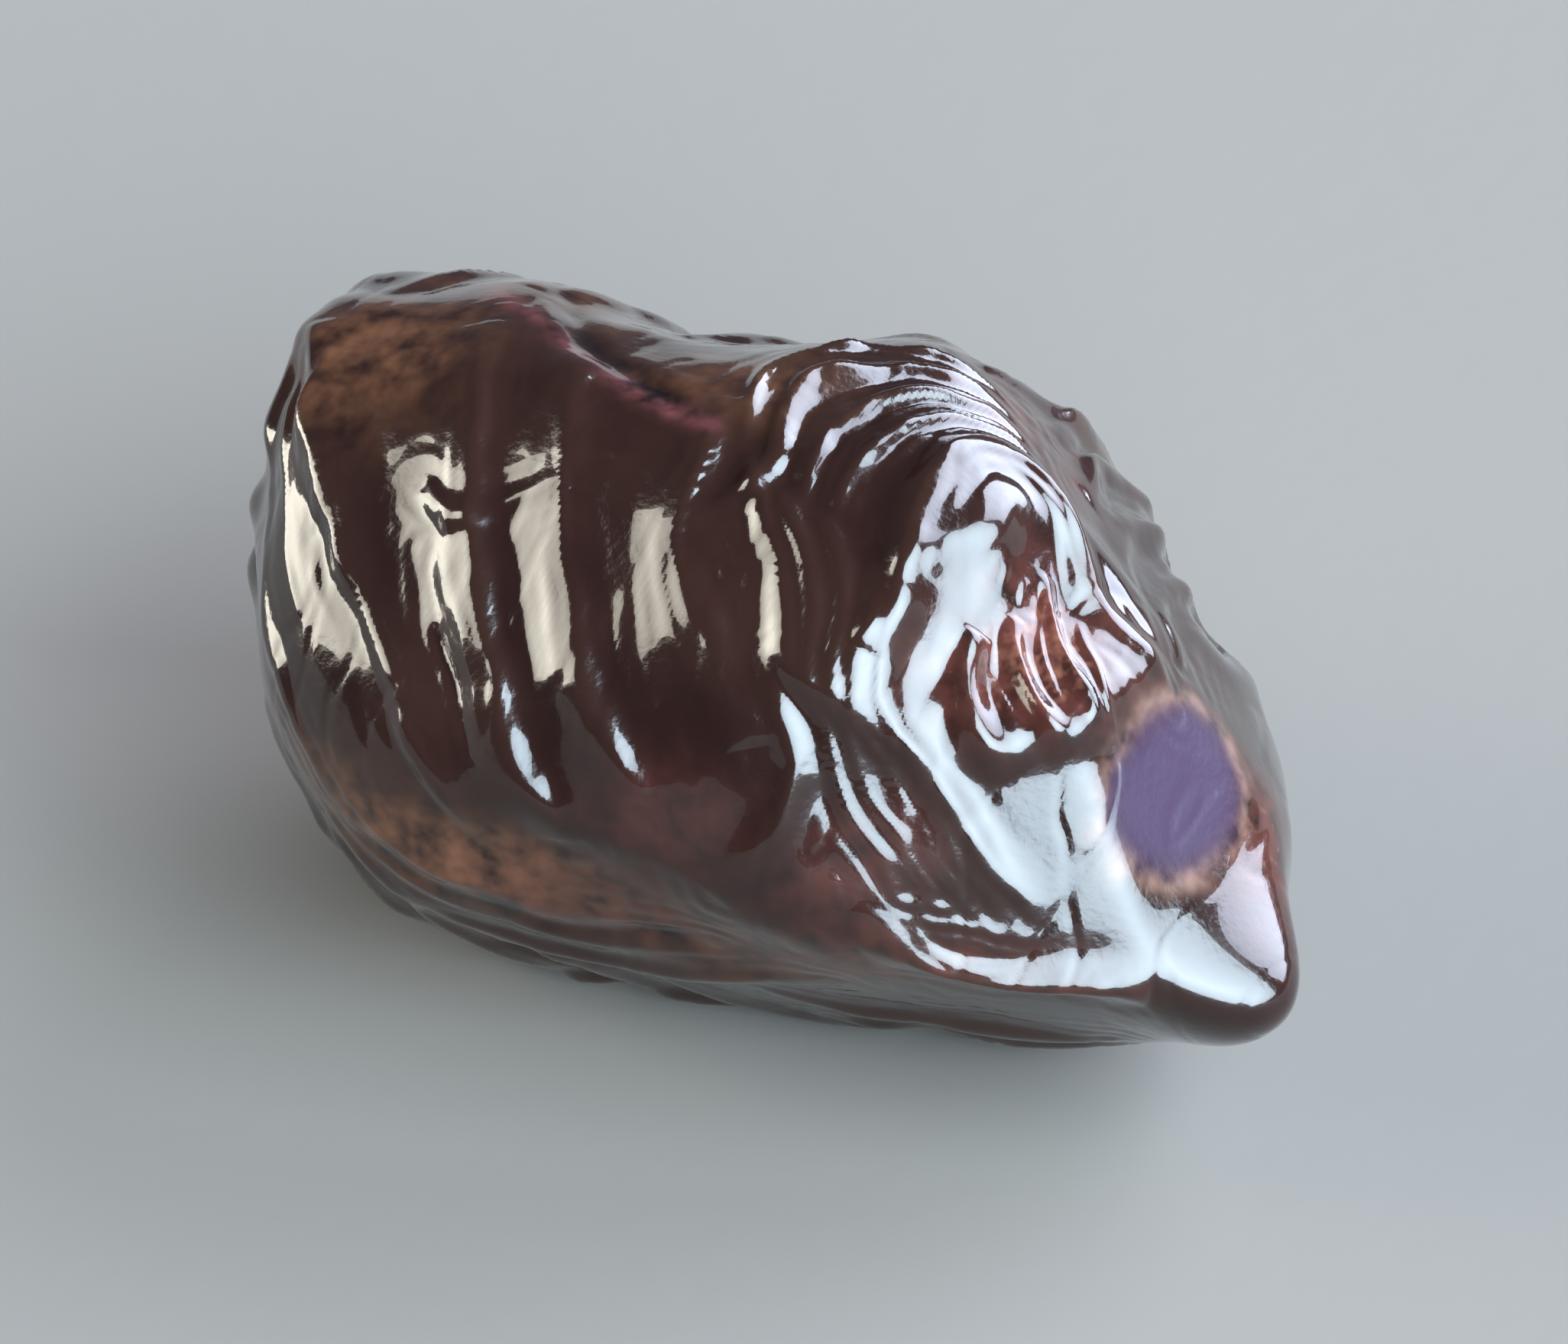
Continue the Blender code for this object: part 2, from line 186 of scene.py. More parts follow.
# The finest folds, laid over the others in the same way
FINE_FAMILIES = (
    (9, 0.06, 0.16, 0.16, ((0.2, 36), (-0.3, 52), (0.6, 66), (2.6, 74), (5.0, 76)),
     ((3.4, 26), (3.3, 40), (4.1, 51), (5.4, 60), (6.8, 64))),
    (8, 0.02, 0.16, 0.18, ((0.8, 33), (2.4, 16), (3.8, 0), (5.1, -8), (6.2, -19), (7.5, -30)),
     ((5.1, 16), (5.9, 5), (6.7, -4), (7.9, -11), (9.1, -19), (10.5, -27))),
    (5, 0.09, 0.15, 0.15, ((6.7, 34), (7.0, 24), (7.6, 14), (8.6, 4)),
     ((9.2, 45), (9.8, 36), (10.2, 27), (10.8, 18))),
    (4, 0.06, 0.16, 0.16, ((5.3, 22), (5.1, 36), (5.6, 50), (7.0, 54), (8.6, 52)),
     ((4.4, 18), (3.9, 34), (4.3, 52), (6.3, 63), (8.4, 63))),
    (3, 0.05, 0.18, 0.18, ((-6.4, 30), (-5.9, 20), (-5.0, 8), (-3.9, -4), (-2.7, -16)),
     ((-5.0, 30), (-4.6, 18), (-3.7, 7), (-2.5, -5), (-1.2, -18))),
    (2, 0.05, 0.18, 0.18, ((-3.9, 26), (-3.3, 14), (-2.2, 2), (-1.2, -8)),
     ((-2.9, 30), (-2.3, 16), (-1.2, 4), (-0.2, -6))),
    (3, 0.05, 0.18, 0.18, ((-11.6, 34), (-11.3, 18), (-10.4, 4), (-9.2, -10), (-7.6, -22)),
     ((-9.8, 36), (-9.4, 18), (-8.2, 2), (-6.6, -12), (-4.8, -24))),
    (6, 0.05, 0.18, 0.18, ((-8.6, 74), (-7.4, 84), (-6.4, 98), (-6.6, 118)),
     ((2.4, 76), (3.6, 92), (4.0, 110), (3.0, 128))),
    (7, 0.05, 0.18, 0.18, ((-9.0, -52), (-7.8, -72), (-6.6, -92), (-6.0, -112)),
     ((1.0, -78), (2.6, -96), (4.6, -110), (6.2, -124))),
    (6, 0.05, 0.18, 0.18, ((9.8, 76), (8.6, 92), (8.4, 108), (9.2, 126)),
     ((5.2, 92), (4.2, 110), (5.0, 130), (7.0, 148))),
)

# Steps of a fold's path from point to point, how strongly the skin dips beside a fold, and the distance past
# which a fold leaves the skin alone
FOLD_STEPS = 5
FOLD_VALLEY = 0.7
FOLD_CLEARANCE = 3.3

# Unevenness: amount, the span over which it changes, and where in the noise it is read. Folds wander and
# tremble sideways, and swell and fade along their length. The body's own surface waves a little, and some of
# the puckers at the stalk end stand lower than others
WANDER = (0.45, 3.2, 0.0)
TREMOR = (0.12, 1.1, 7.0)
SWELL = (0.9, 3.6, 19.0)
WAVES = (0.10, 2.1, 43.0)
PUCKER_SWELL = (1.3, 1.5, 61.0)
NOISE_APART = 31.7

# The matt patch on the cut-looking facet near the tip, with a painted violet sheen: x, angle, half length,
# half breadth, turn. Its edge is crisp. A pale border runs round it, at a place and width given where the
# patch's edge is 1
MATT_SHEEN_PATCH = (12.0, 36, 2.8, 1.8, -78)
MATT_SHEEN_EDGE = 8
BORDER_AT = 1.05
BORDER_WIDTH = 0.16

# Patches by tint: x, angle, half length, half breadth, turn, strength. Red is flesh that shows through the
# skin.
# Brown is painted reflection of warm brown surroundings on the front, and the skin's own brown tone on the
# back.
# The larger its number, the steeper a patch's edge
PATCH_EDGE = 3
PATCHES = {
    "red": (
        (8.5, 27, 3.2, 2.2, -58, 1.0),
        (12.8, 84, 2.2, 1.8, 0, 0.7),
        (5.6, 74, 2.8, 2.2, 0, 0.55),
        (1.7, -28, 2.0, 1.4, 0, 0.3),
        (6.3, -28, 2.4, 1.2, -50, 0.4),
        (7.5, -50, 4.6, 1.5, 0, 0.55),
        (1.5, -52, 4.6, 1.5, 0, 0.5),
        (-8.0, 150, 3.0, 2.4, 30, 0.4),
        (6.0, 170, 3.0, 2.0, 20, 0.6),
        (-3.0, 215, 3.4, 2.0, 10, 0.4),
    ),
    # Painted reflections of warm brown surroundings on the front, the skin's own brown tone on the back
    "brown": (
        (-9.5, 42, 2.6, 2.4, 0, 0.9),
        (-7.0, 72, 3.2, 1.8, 0, 0.6),
        (-1.0, 52, 2.6, 1.6, 0, 0.5),
        (-3.4, -46, 4.6, 1.6, 0, 1.0),
        (4.0, -60, 4.0, 1.6, 0, 0.3),
        (-4.5, 142, 3.4, 2.4, 60, 0.6),
        (2.0, 120, 4.0, 2.6, 10, 0.5),
        (-8.5, 240, 3.0, 2.2, 0, 0.6),
        (8.6, 205, 3.0, 2.2, 0, 0.5),
    ),
}

# A red vein along the top of the saddle: half width, then points of x and angle
VEIN = (0.30, ((-8.6, 74), (-8.0, 66), (-6.4, 57), (-4.2, 49), (-2.3, 42), (-0.7, 37)))

# Scales below are in waves per metre. Wrinkles beside the folds wobble every 2.2 mm, by this many turns of
# their own wave. They come and go in patches of about 4 mm, from none at one value of the patches' noise to
# full height at another
WOBBLE_SCALE = 450.0
WOBBLE_TURNS = 1.4
WRINKLED_SCALE = 240.0
WRINKLED_SHOWN = {"From Min": 0.44, "From Max": 0.60}

# Thin creases across the fruit: how much slower their noise changes along them than across them, and how far
# from the noise's middle value their edges lie
CREASE_STRETCH = 0.3
CREASE_EDGE = 0.045

# Patterns of the skin: mottling in patches of about 4 mm, blotches of 0.7 mm that break up what shows
# through, specks of 0.3 mm, and the skin's own grain of 0.2 mm with the strength and height of its bump
MOTTLE_SCALE = 250.0
BLOTCH_SCALE = 1400.0
SPECK_SCALE = 3600.0
GRAIN_SCALE = 5000.0
GRAIN_STRENGTH = 0.5
GRAIN_HEIGHT = 0.02 * MM

# Where a layer starts to show and where it shows in full: values of a noise, or heights of a fold in mm
MOTTLE_SHOWN = {"From Min": 0.42, "From Max": 0.68}
BLOTCH_SHOWN = {"From Min": 0.3, "From Max": 0.7}
SPECK_SHOWN = {"From Min": 0.42, "From Max": 0.70}
# The crests of the folds get a painted highlight, and the creases a painted shade
CREST_HIGHLIGHT_SHOWN = {"From Min": 0.05, "From Max": 0.35}
CREASE_SHADE_SHOWN = {"From Min": -0.02, "From Max": -0.14}

# Gloss: how much of the oil's film lies on the skin and on the facet's matt patch, and the roughness that
# this patch, the scar and the blotches add under it
FILM_ON_SKIN = 0.8
FILM_ON_MATT_SHEEN = 0.1
MATT_SHEEN_ROUGHNESS = 0.25
SCAR_ROUGHNESS = 0.4
BLOTCH_ROUGHNESS = 0.08
SKIN_SPECULAR = 0.2
OIL_IOR = 1.43

# Floor: the stipple that a roller leaves, about 1 mm across, and its gloss
STIPPLE_SCALE = 900.0
STIPPLE_STRENGTH = 0.2
STIPPLE_HEIGHT = 0.05 * MM
FLOOR_ROUGHNESS = 0.85
FLOOR_SPECULAR = 0.2

# Windows, all at one distance: azimuth, elevation, width, height, turn in its own plane, spread of its light,
# sRGB colour
WINDOW_DISTANCE = 1.2
WINDOWS = {
    "cool": (66, 26, 1.8, 1.4, -20, 120, "#daf0ff"),
    "warm": (-75, 10, 1.8, 0.6, -55, 110, "#fffaea"),
    "back": (150, 32, 1.2, 1.0, 0, 120, "#dfeaff"),
}


def linear(code):
    """The linear colour of an sRGB hex value."""
    parts = [int(code[i : i + 2], 16) / 255 for i in (1, 3, 5)]
    return tuple(c / 12.92 if c <= 0.04045 else ((c + 0.055) / 1.055) ** 2.4 for c in parts)


def spine(x):
    """Height of the fruit's middle line: a slight S from end to end."""
    return SPINE_SLOPE * x - SPINE_BEND * x**3


def on_body(x, angle):
    """Points of the plump body at x and at angles round it. Its ends are fuller than an ellipse's."""
    radius = GIRTH_RADIUS * np.sqrt(np.clip(1 - np.abs(x / HALF_LENGTH) ** FULLNESS, 0, 1))
    turn = np.radians(angle)
    return np.stack([x + 0 * turn, radius * np.cos(turn), spine(x) + radius * np.sin(turn)], -1)


def outward(points):
    """Normals of the plump body at points on it."""
    x, face, rise = points.T
    lift = rise - spine(x)
    slope = SPINE_SLOPE - 3 * SPINE_BEND * x**2
    across = 2 / GIRTH_RADIUS**2
    along = np.sign(x) * FULLNESS * np.abs(x / HALF_LENGTH) ** (FULLNESS - 1) / HALF_LENGTH
    normal = np.stack([along - lift * slope * across, face * across, lift * across], -1)
    return normal / np.linalg.norm(normal, axis=1, keepdims=True)


def spot(x, angle):
    """One point of the plump body, and the normal there."""
    centre = on_body(np.array([x]), np.array([angle]))
    return centre[0], outward(centre)[0]


def oval(points, x, angle, length, breadth, turn):
    """How far out points lie from a spot on the body, where 1 is the edge of the oval round it."""
    centre, normal = spot(x, angle)
    along = np.array([1.0, 0, 0]) - normal[0] * normal
    along /= np.linalg.norm(along)
    aside = np.cross(normal, along)
    c, s = math.cos(math.radians(turn)), math.sin(math.radians(turn))
    offset = points - centre
    u = offset @ (c * along + s * aside) / length
    v = offset @ (c * aside - s * along) / breadth
    w = offset @ normal / max(length, breadth)
    return np.sqrt(u**2 + v**2 + w**2)


def murmur(points, amount, span, place):
    """Smooth noise between plus and minus the amount."""
    return amount * np.array([noise.noise(Vector(point)) for point in points / span + place])


def drift(points, amount, span, place):
    """Three murmurs side by side, as vectors."""
    places = [place + i * NOISE_APART for i in range(3)]
    return np.stack([murmur(points, amount, span, own) for own in places], -1)


def fold_path(knots):
    """Points on the body along a smooth curve through pairs of x and angle."""
    knots = np.array(knots, float)
    ends = np.vstack([2 * knots[0] - knots[1], knots, 2 * knots[-1] - knots[-2]])
    t = np.arange(FOLD_STEPS)[:, None] / FOLD_STEPS
    spans = []
    for a, b, c, d in zip(ends, ends[1:], ends[2:], ends[3:]):
        bend = (2 * a - 5 * b + 4 * c - d) * t**2 + (3 * b - a - 3 * c + d) * t**3
        spans.append((2 * b + (c - a) * t + bend) / 2)
    x, angle = np.vstack([*spans, knots[-1:]]).T
    return on_body(x, angle)


def nearest(points, normals, path):
    """Distance of each point from the path, its share of the way along, and whether it is on the right."""
    start, run = path[:-1], np.diff(path, axis=0)
    offset = points[:, None, :] - start
    share = np.clip((offset * run).sum(2) / (run**2).sum(1), 0, 1)
    gap = np.linalg.norm(offset - share[:, :, None] * run, axis=2)
    best = gap.argmin(1)
    row = np.arange(len(points))
    on_right = (np.cross(normals, run[best]) * offset[row, best]).sum(1) > 0
    return gap[row, best], (best + share[row, best]) / len(run), on_right


def family_folds(count, height, right, left, first, last):
    """Folds in even steps from the first to the last."""
    first, last = np.array(first, float), np.array(last, float)
    return [(height, right, left, first + (last - first) * i / (count - 1)) for i in range(count)]


def folds_relief(points, normals, folds, families):
    """The relief of folds and families together, and the distance of each point from the nearest of them."""
    members = [fold for family in families for fold in family_folds(*family)]
    relief, clearance = np.zeros(len(points)), np.full(len(points), FOLD_CLEARANCE)
    for height, right, left, knots in [*folds, *members]:
        path = fold_path(knots)
        near = ((points > path.min(0) - FOLD_CLEARANCE) & (points < path.max(0) + FOLD_CLEARANCE)).all(1)
        gap, along, on_right = nearest(points[near], normals[near], path)
        across = (gap / np.where(on_right, right, left)) ** 2
        relief[near] += height * np.sqrt(np.sin(np.pi * along)) * (1 - FOLD_VALLEY * across) * np.exp(-across)
        clearance[near] = np.minimum(clearance[near], gap)
    return relief, clearance


def press_flats(points):
    """Pushes each flat side in to a plane, with a soft edge round it."""
    for x, angle, depth, softness in FLATS:
        centre, normal = spot(x, angle)
        above = ((points - centre) @ normal + depth) / softness
        points = points - np.outer(softness * np.logaddexp(0, above), normal)
    return points


def hollows_relief(points):
    """Oval hollows, each with a soft rim that stands a little proud."""
    relief = np.zeros(len(points))
    for *place, depth in HOLLOWS:
        out = oval(points, *place)
        rim = HOLLOW_RIM * np.exp(-(((out - HOLLOW_RIM_AT) / HOLLOW_RIM_WIDTH) ** 2))
        relief += depth * (rim - np.exp(-(out**HOLLOW_EDGE)))
    return relief


def stalk_relief(points):
    """The saucer at the stalk end with its lip, puckers and scar, and how far the scar covers each point."""
    offset = points - on_body(np.array([-HALF_LENGTH]), np.array([0.0]))[0]
    out = np.hypot(offset[:, 1], offset[:, 2])
    turn = np.arctan2(offset[:, 2], offset[:, 1])
    here = np.exp(-((np.maximum(0, offset[:, 0] - STALK_FULL) / STALK_REACH) ** 2)) * (points[:, 0] < 0)
    saucer = -SAUCER_DEPTH * np.exp(-((out / SAUCER_RADIUS) ** SAUCER_EDGE))
    lip = LIP_HEIGHT * np.exp(-(((out - LIP_AT) / LIP_WIDTH) ** 2))
    ring = np.exp(-(((out - PUCKERS_AT) / PUCKERS_WIDTH) ** 2))
    pucker = PUCKER_HEIGHT * ring * np.cos(PUCKERS * turn + PUCKER_SHIFT * np.sin(2 * turn + 1))
    pucker *= 1 + murmur(points, *PUCKER_SWELL)
    scar = np.exp(-((out / SCAR_RADIUS) ** SCAR_EDGE))
    return here * (saucer + lip + pucker - SCAR_DEPTH * scar), here * scar


def nub_relief(points):
    """The nub at the tip."""
    return NUB_HEIGHT * np.exp(-((points - np.array(NUB_AT)) ** 2).sum(1) / NUB_RADIUS**2)


def off_foot(points):
    """1 away from the spot where the fruit rests, falling to 0 on it."""
    offset = points - spot(*FOOT_AT)[0]
    along, across = offset[:, 0] / FOOT_REACH[0], np.hypot(offset[:, 1], offset[:, 2]) / FOOT_REACH[1]
    return 1 - np.exp(-((along**2 + across**2) ** 2))


def patch_share(points, tint):
    """How much of a tint shows, from 0 to 1. Red is flesh showing through; brown is partly painted reflection
    and partly the skin's own tone.
    """
    share = np.zeros(len(points))
    for *place, strength in PATCHES[tint]:
        share = np.maximum(share, strength * np.exp(-(oval(points, *place) ** PATCH_EDGE)))
    return share


def facet_shares(points):
    """How much of the facet's matt patch, with its painted violet sheen, and of the pale border round it,
    covers each point.
    """
    out = oval(points, *MATT_SHEEN_PATCH)
    matt_sheen = np.exp(-(out**MATT_SHEEN_EDGE))
    border = np.exp(-(((out - BORDER_AT) / BORDER_WIDTH) ** 2))
    return matt_sheen, border


def skin(directions):
    """Points of the shrunken skin, in the fruit's own frame, and what its finish reads at each of them."""
    x = HALF_LENGTH * directions[:, 0]
    plump = on_body(x, np.degrees(np.arctan2(directions[:, 2], directions[:, 1])))
    normals = outward(plump)
    wandered = plump + drift(plump, *WANDER) + drift(plump, *TREMOR)
    folds, clearance = folds_relief(wandered, normals, FOLDS, FAMILIES)
    fine = folds_relief(wandered, normals, (), FINE_FAMILIES)[0]
    stalk, scar = stalk_relief(plump)
    folds = (folds + fine) * (1 + murmur(plump, *SWELL))
    relief = folds + hollows_relief(wandered) + stalk + nub_relief(plump)
    waves, free = murmur(plump, *WAVES), off_foot(plump)
    waved = plump + normals * (waves * free)[:, None]
    matt_sheen, border = facet_shares(wandered)
    width, knots = VEIN
    finish = {
        "fold": folds * free,
        "clearance": clearance * MM,
        "matt_sheen": matt_sheen,
        "border": border,
        "red": patch_share(wandered, "red"),
        "brown": patch_share(wandered, "brown"),
        "vein": np.exp(-((nearest(wandered, normals, fold_path(knots))[0] / width) ** 2)),
        "scar": scar,
        "free": free,
    }
    return press_flats(waved) + normals * (relief * free)[:, None], finish


def rest_pose():
    """Rolls the best face up towards the front and drops the tip, in the frame's axes."""
    roll = Matrix.Rotation(math.radians(-FACE_RISE), 3, "X")
    tilt = Matrix.Rotation(math.radians(TIP_DROP), 3, "Y")
    face_to_front = Matrix(((1, 0, 0), (0, -1, 0), (0, 0, 1)))
    return np.array(tilt @ roll @ face_to_front)


def set_down(points):
    """Brings points in millimetres to where the solid stands, in metres."""
    low, high = (np.array(corner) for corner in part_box(NODE))
    points = points @ rest_pose().T * MM
    top, bottom = points.max(0), points.min(0)
    shift = (low + high) / 2 - (top + bottom) / 2
    shift[2] = high[2] - top[2]
    return points + shift


def cube_mesh(cells):
    """A cube from -1 to 1, with this many cells along each side."""
    bm = bmesh.new()
    bmesh.ops.create_cube(bm, size=2)
    bmesh.ops.subdivide_edges(bm, edges=bm.edges[:], cuts=cells - 1, use_grid_fill=True)
    mesh = bpy.data.meshes.new("olive_skin")
    bm.to_mesh(mesh)
    bm.free()
    return mesh


def cut_foot(mesh):
    """Cuts the mesh at the height it stands on, closes the cut with one flat face and turns all faces out."""
    bm = bmesh.new()
    bm.from_mesh(mesh)
    everything = bm.verts[:] + bm.edges[:] + bm.faces[:]
    level = {"plane_co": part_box(NODE)[0], "plane_no": (0, 0, -1)}
    cut = bmesh.ops.bisect_plane(bm, geom=everything, clear_outer=True, **level)
    rim = [edge for edge in cut["geom_cut"] if isinstance(edge, bmesh.types.BMEdge)]
    bmesh.ops.contextual_create(bm, geom=rim)
    bm.normal_update()
    bmesh.ops.recalc_face_normals(bm, faces=bm.faces[:])
    bm.to_mesh(mesh)
    bm.free()


def form_mesh(cells):
    """The shrunken fruit at rest, with one attribute for each thing that its finish reads."""
    mesh = cube_mesh(cells)
    sides = np.empty(3 * len(mesh.vertices), np.float32)
    mesh.vertices.foreach_get("co", sides)

    # Equal steps along the cube become equal angles, and then crowd towards the dense side
    directions = np.tan(sides.reshape(-1, 3).astype(float) * math.pi / 4)
    for lean in (0, DENSE_SHARE):
        directions += lean * np.array(DENSE_TOWARDS)
        directions /= np.linalg.norm(directions, axis=1, keepdims=True)
    points, finish = skin(directions)
    mesh.vertices.foreach_set("co", set_down(points).astype(np.float32).ravel())
    for name, values in finish.items():
        mesh.attributes.new(name, "FLOAT", "POINT").data.foreach_set("value", values.astype(np.float32))
    cut_foot(mesh)
    mesh.shade_smooth()
    return mesh


def add_node(tree, kind, inputs=(), **settings):
    """Adds a node with its settings. An input is a value, a socket, or a node whose first output it takes."""
    made = tree.nodes.new(kind)
    for name, value in settings.items():
        setattr(made, name, value)
    for socket, value in dict(inputs).items():
        if isinstance(value, bpy.types.Node):
            value = value.outputs[0]
        if isinstance(value, bpy.types.NodeSocket):
            tree.links.new(value, made.inputs[socket])
        else:
            made.inputs[socket].default_value = value
    return made


WRINKLE_INPUTS = (
    ("Geometry", "NodeSocketGeometry"),
    ("Wrinkle height", "NodeSocketFloat"),
    ("Wrinkle spacing", "NodeSocketFloat"),
    ("Wrinkle reach", "NodeSocketFloat"),
    ("Crease depth", "NodeSocketFloat"),
    ("Crease spacing", "NodeSocketFloat"),
    ("Skin", "NodeSocketMaterial"),
)


def wrinkles_beside(tree, given, place):
    """Height of the wrinkles that run beside each fold, wobble, and come and go."""
    gap = add_node(tree, "GeometryNodeInputNamedAttribute", {"Name": "clearance"}, data_type="FLOAT")
    wobble = add_node(tree, "ShaderNodeTexNoise", {"Vector": place, "Scale": WOBBLE_SCALE, "Detail": 1.0})
    patch = add_node(tree, "ShaderNodeTexNoise", {"Vector": place, "Scale": WRINKLED_SCALE, "Detail": 1.0})
    seen = {"Value": patch, **WRINKLED_SHOWN}
    shown = add_node(tree, "ShaderNodeMapRange", seen, interpolation_type="SMOOTHSTEP")
    turns = add_node(tree, "ShaderNodeMath", {0: gap, 1: given["Wrinkle spacing"]}, operation="DIVIDE")
    phase = add_node(tree, "ShaderNodeMath", {0: wobble, 1: WOBBLE_TURNS, 2: turns}, operation="MULTIPLY_ADD")
    angle = add_node(tree, "ShaderNodeMath", {0: phase, 1: math.tau}, operation="MULTIPLY")
    wave = add_node(tree, "ShaderNodeMath", {0: angle}, operation="COSINE")
    reach = add_node(tree, "ShaderNodeMath", {0: gap, 1: given["Wrinkle reach"]}, operation="DIVIDE")
    fall = add_node(tree, "ShaderNodeMath", {0: reach, 1: 2.0}, operation="POWER")
    fade = add_node(tree, "ShaderNodeMath", {0: fall, 1: -1.0}, operation="MULTIPLY")
    near = add_node(tree, "ShaderNodeMath", {0: fade}, operation="EXPONENT")
    lines = add_node(tree, "ShaderNodeMath", {0: wave, 1: near}, operation="MULTIPLY")
    lines = add_node(tree, "ShaderNodeMath", {0: lines, 1: shown}, operation="MULTIPLY")
    return add_node(tree, "ShaderNodeMath", {0: lines, 1: given["Wrinkle height"]}, operation="MULTIPLY")


def creases_across(tree, given, place):
    """Height of the thin creases across the fruit, which are the narrow valleys of a stretched noise."""
    pitch = add_node(tree, "ShaderNodeMath", {0: 1.0, 1: given["Crease spacing"]}, operation="DIVIDE")
    slow = add_node(tree, "ShaderNodeMath", {0: pitch, 1: CREASE_STRETCH}, operation="MULTIPLY")
    stretch = add_node(tree, "ShaderNodeCombineXYZ", {"X": pitch, "Y": slow, "Z": slow})
    drawn = add_node(tree, "ShaderNodeVectorMath", {0: place, 1: stretch}, operation="MULTIPLY")
    grain = add_node(tree, "ShaderNodeTexNoise", {"Vector": drawn, "Scale": 1.0, "Detail": 1.5})
    off = add_node(tree, "ShaderNodeMath", {0: grain, 1: -0.5}, operation="ADD")
    size = add_node(tree, "ShaderNodeMath", {0: off}, operation="ABSOLUTE")
    narrow = add_node(
        tree,
        "ShaderNodeMapRange",
        {"Value": size, "From Min": 0.0, "From Max": CREASE_EDGE, "To Min": -1.0, "To Max": 0.0},
        interpolation_type="SMOOTHSTEP",
    )
    return add_node(tree, "ShaderNodeMath", {0: narrow, 1: given["Crease depth"]}, operation="MULTIPLY")


def wrinkle_tree():
    """Fine wrinkles beside the folds and across the fruit, raised along the skin's normals."""
    tree = bpy.data.node_groups.new("fine_wrinkles", "GeometryNodeTree")
    for name, kind in WRINKLE_INPUTS:
        tree.interface.new_socket(name, in_out="INPUT", socket_type=kind)
    tree.interface.new_socket("Geometry", in_out="OUTPUT", socket_type="NodeSocketGeometry")
    given = add_node(tree, "NodeGroupInput").outputs
    place = add_node(tree, "GeometryNodeInputPosition")
    beside, across = wrinkles_beside(tree, given, place), creases_across(tree, given, place)
    free = add_node(tree, "GeometryNodeInputNamedAttribute", {"Name": "free"}, data_type="FLOAT")
    both = add_node(tree, "ShaderNodeMath", {0: beside, 1: across}, operation="ADD")
    height = add_node(tree, "ShaderNodeMath", {0: both, 1: free}, operation="MULTIPLY")
    normal = add_node(tree, "GeometryNodeInputNormal")
    raised = add_node(tree, "ShaderNodeVectorMath", {0: normal, "Scale": height}, operation="SCALE")
    moved = add_node(tree, "GeometryNodeSetPosition", {"Geometry": given["Geometry"], "Offset": raised})
    real = add_node(tree, "GeometryNodeRealizeInstances", {"Geometry": moved})
    done = add_node(tree, "GeometryNodeSetMaterial", {"Geometry": real, "Material": given["Skin"]})
    add_node(tree, "NodeGroupOutput", {"Geometry": done})
    return tree


def plain_mesh(mesh, tree, values):
    """The mesh with the tree's result applied."""
    carrier = bpy.data.objects.new("carrier", mesh)
    bpy.context.scene.collection.objects.link(carrier)
    modifier = carrier.modifiers.new("Wrinkles", "NODES")
    modifier.node_group = tree
    for item in tree.interface.items_tree:
        if item.in_out == "INPUT" and item.name in values:
            modifier[item.identifier] = values[item.name]
    graph = bpy.context.evaluated_depsgraph_get()
    evaluated = carrier.evaluated_get(graph)
    result = bpy.data.meshes.new_from_object(evaluated, preserve_all_data_layers=True, depsgraph=graph)
    bpy.data.objects.remove(carrier)
    return result


def skin_colour(tree, look, place, read, blotch, matt_sheen):
    """The skin's colour, under layers of what shows through it or lies on it, and of painted light: a
    highlight on the fold crests, shade in the creases, reflections in part of the brown patches and a violet
    sheen on the facet.
    """
    mottle = add_node(tree, "ShaderNodeTexNoise", {"Vector": place, "Scale": MOTTLE_SCALE, "Detail": 4.0})
    speck = add_node(tree, "ShaderNodeTexNoise", {"Vector": place, "Scale": SPECK_SCALE, "Detail": 1.0})
    warmth = add_node(tree, "ShaderNodeMath", {0: read["red"], 1: speck}, operation="MULTIPLY")
    patchy = add_node(tree, "ShaderNodeMapRange", {"Value": blotch, **BLOTCH_SHOWN})
    brown, red, vein, border = (
        add_node(tree, "ShaderNodeMath", {0: read[name], 1: patchy}, operation="MULTIPLY")
        for name in ("brown", "red", "vein", "border")
    )
    layers = (
        (add_node(tree, "ShaderNodeMapRange", {"Value": mottle, **MOTTLE_SHOWN}), look.mottle),
        # Painted highlight on the crests of the folds
        (add_node(tree, "ShaderNodeMapRange", {"Value": read["fold"], **CREST_HIGHLIGHT_SHOWN}), look.crest_highlight),
        # Painted shade at the bottom of the creases
        (add_node(tree, "ShaderNodeMapRange", {"Value": read["fold"], **CREASE_SHADE_SHOWN}), look.crease_shade),
        # Brown: partly painted reflection, partly the skin's own tone
        (brown, look.brown_tone_and_reflection),
        (red, look.flesh),
        (add_node(tree, "ShaderNodeMapRange", {"Value": warmth, **SPECK_SHOWN}), look.ember),
        (vein, look.vein),
        (border, look.border),
        # Painted violet sheen on the facet
        (matt_sheen, look.facet),
        (read["scar"], look.scar),
    )
    colour = (*look.skin, 1)
    for share, layer in layers:
        laid = {"Factor": share, "A": colour, "B": (*layer, 1)}
        colour = add_node(tree, "ShaderNodeMix", laid, data_type="RGBA").outputs["Result"]
    return colour


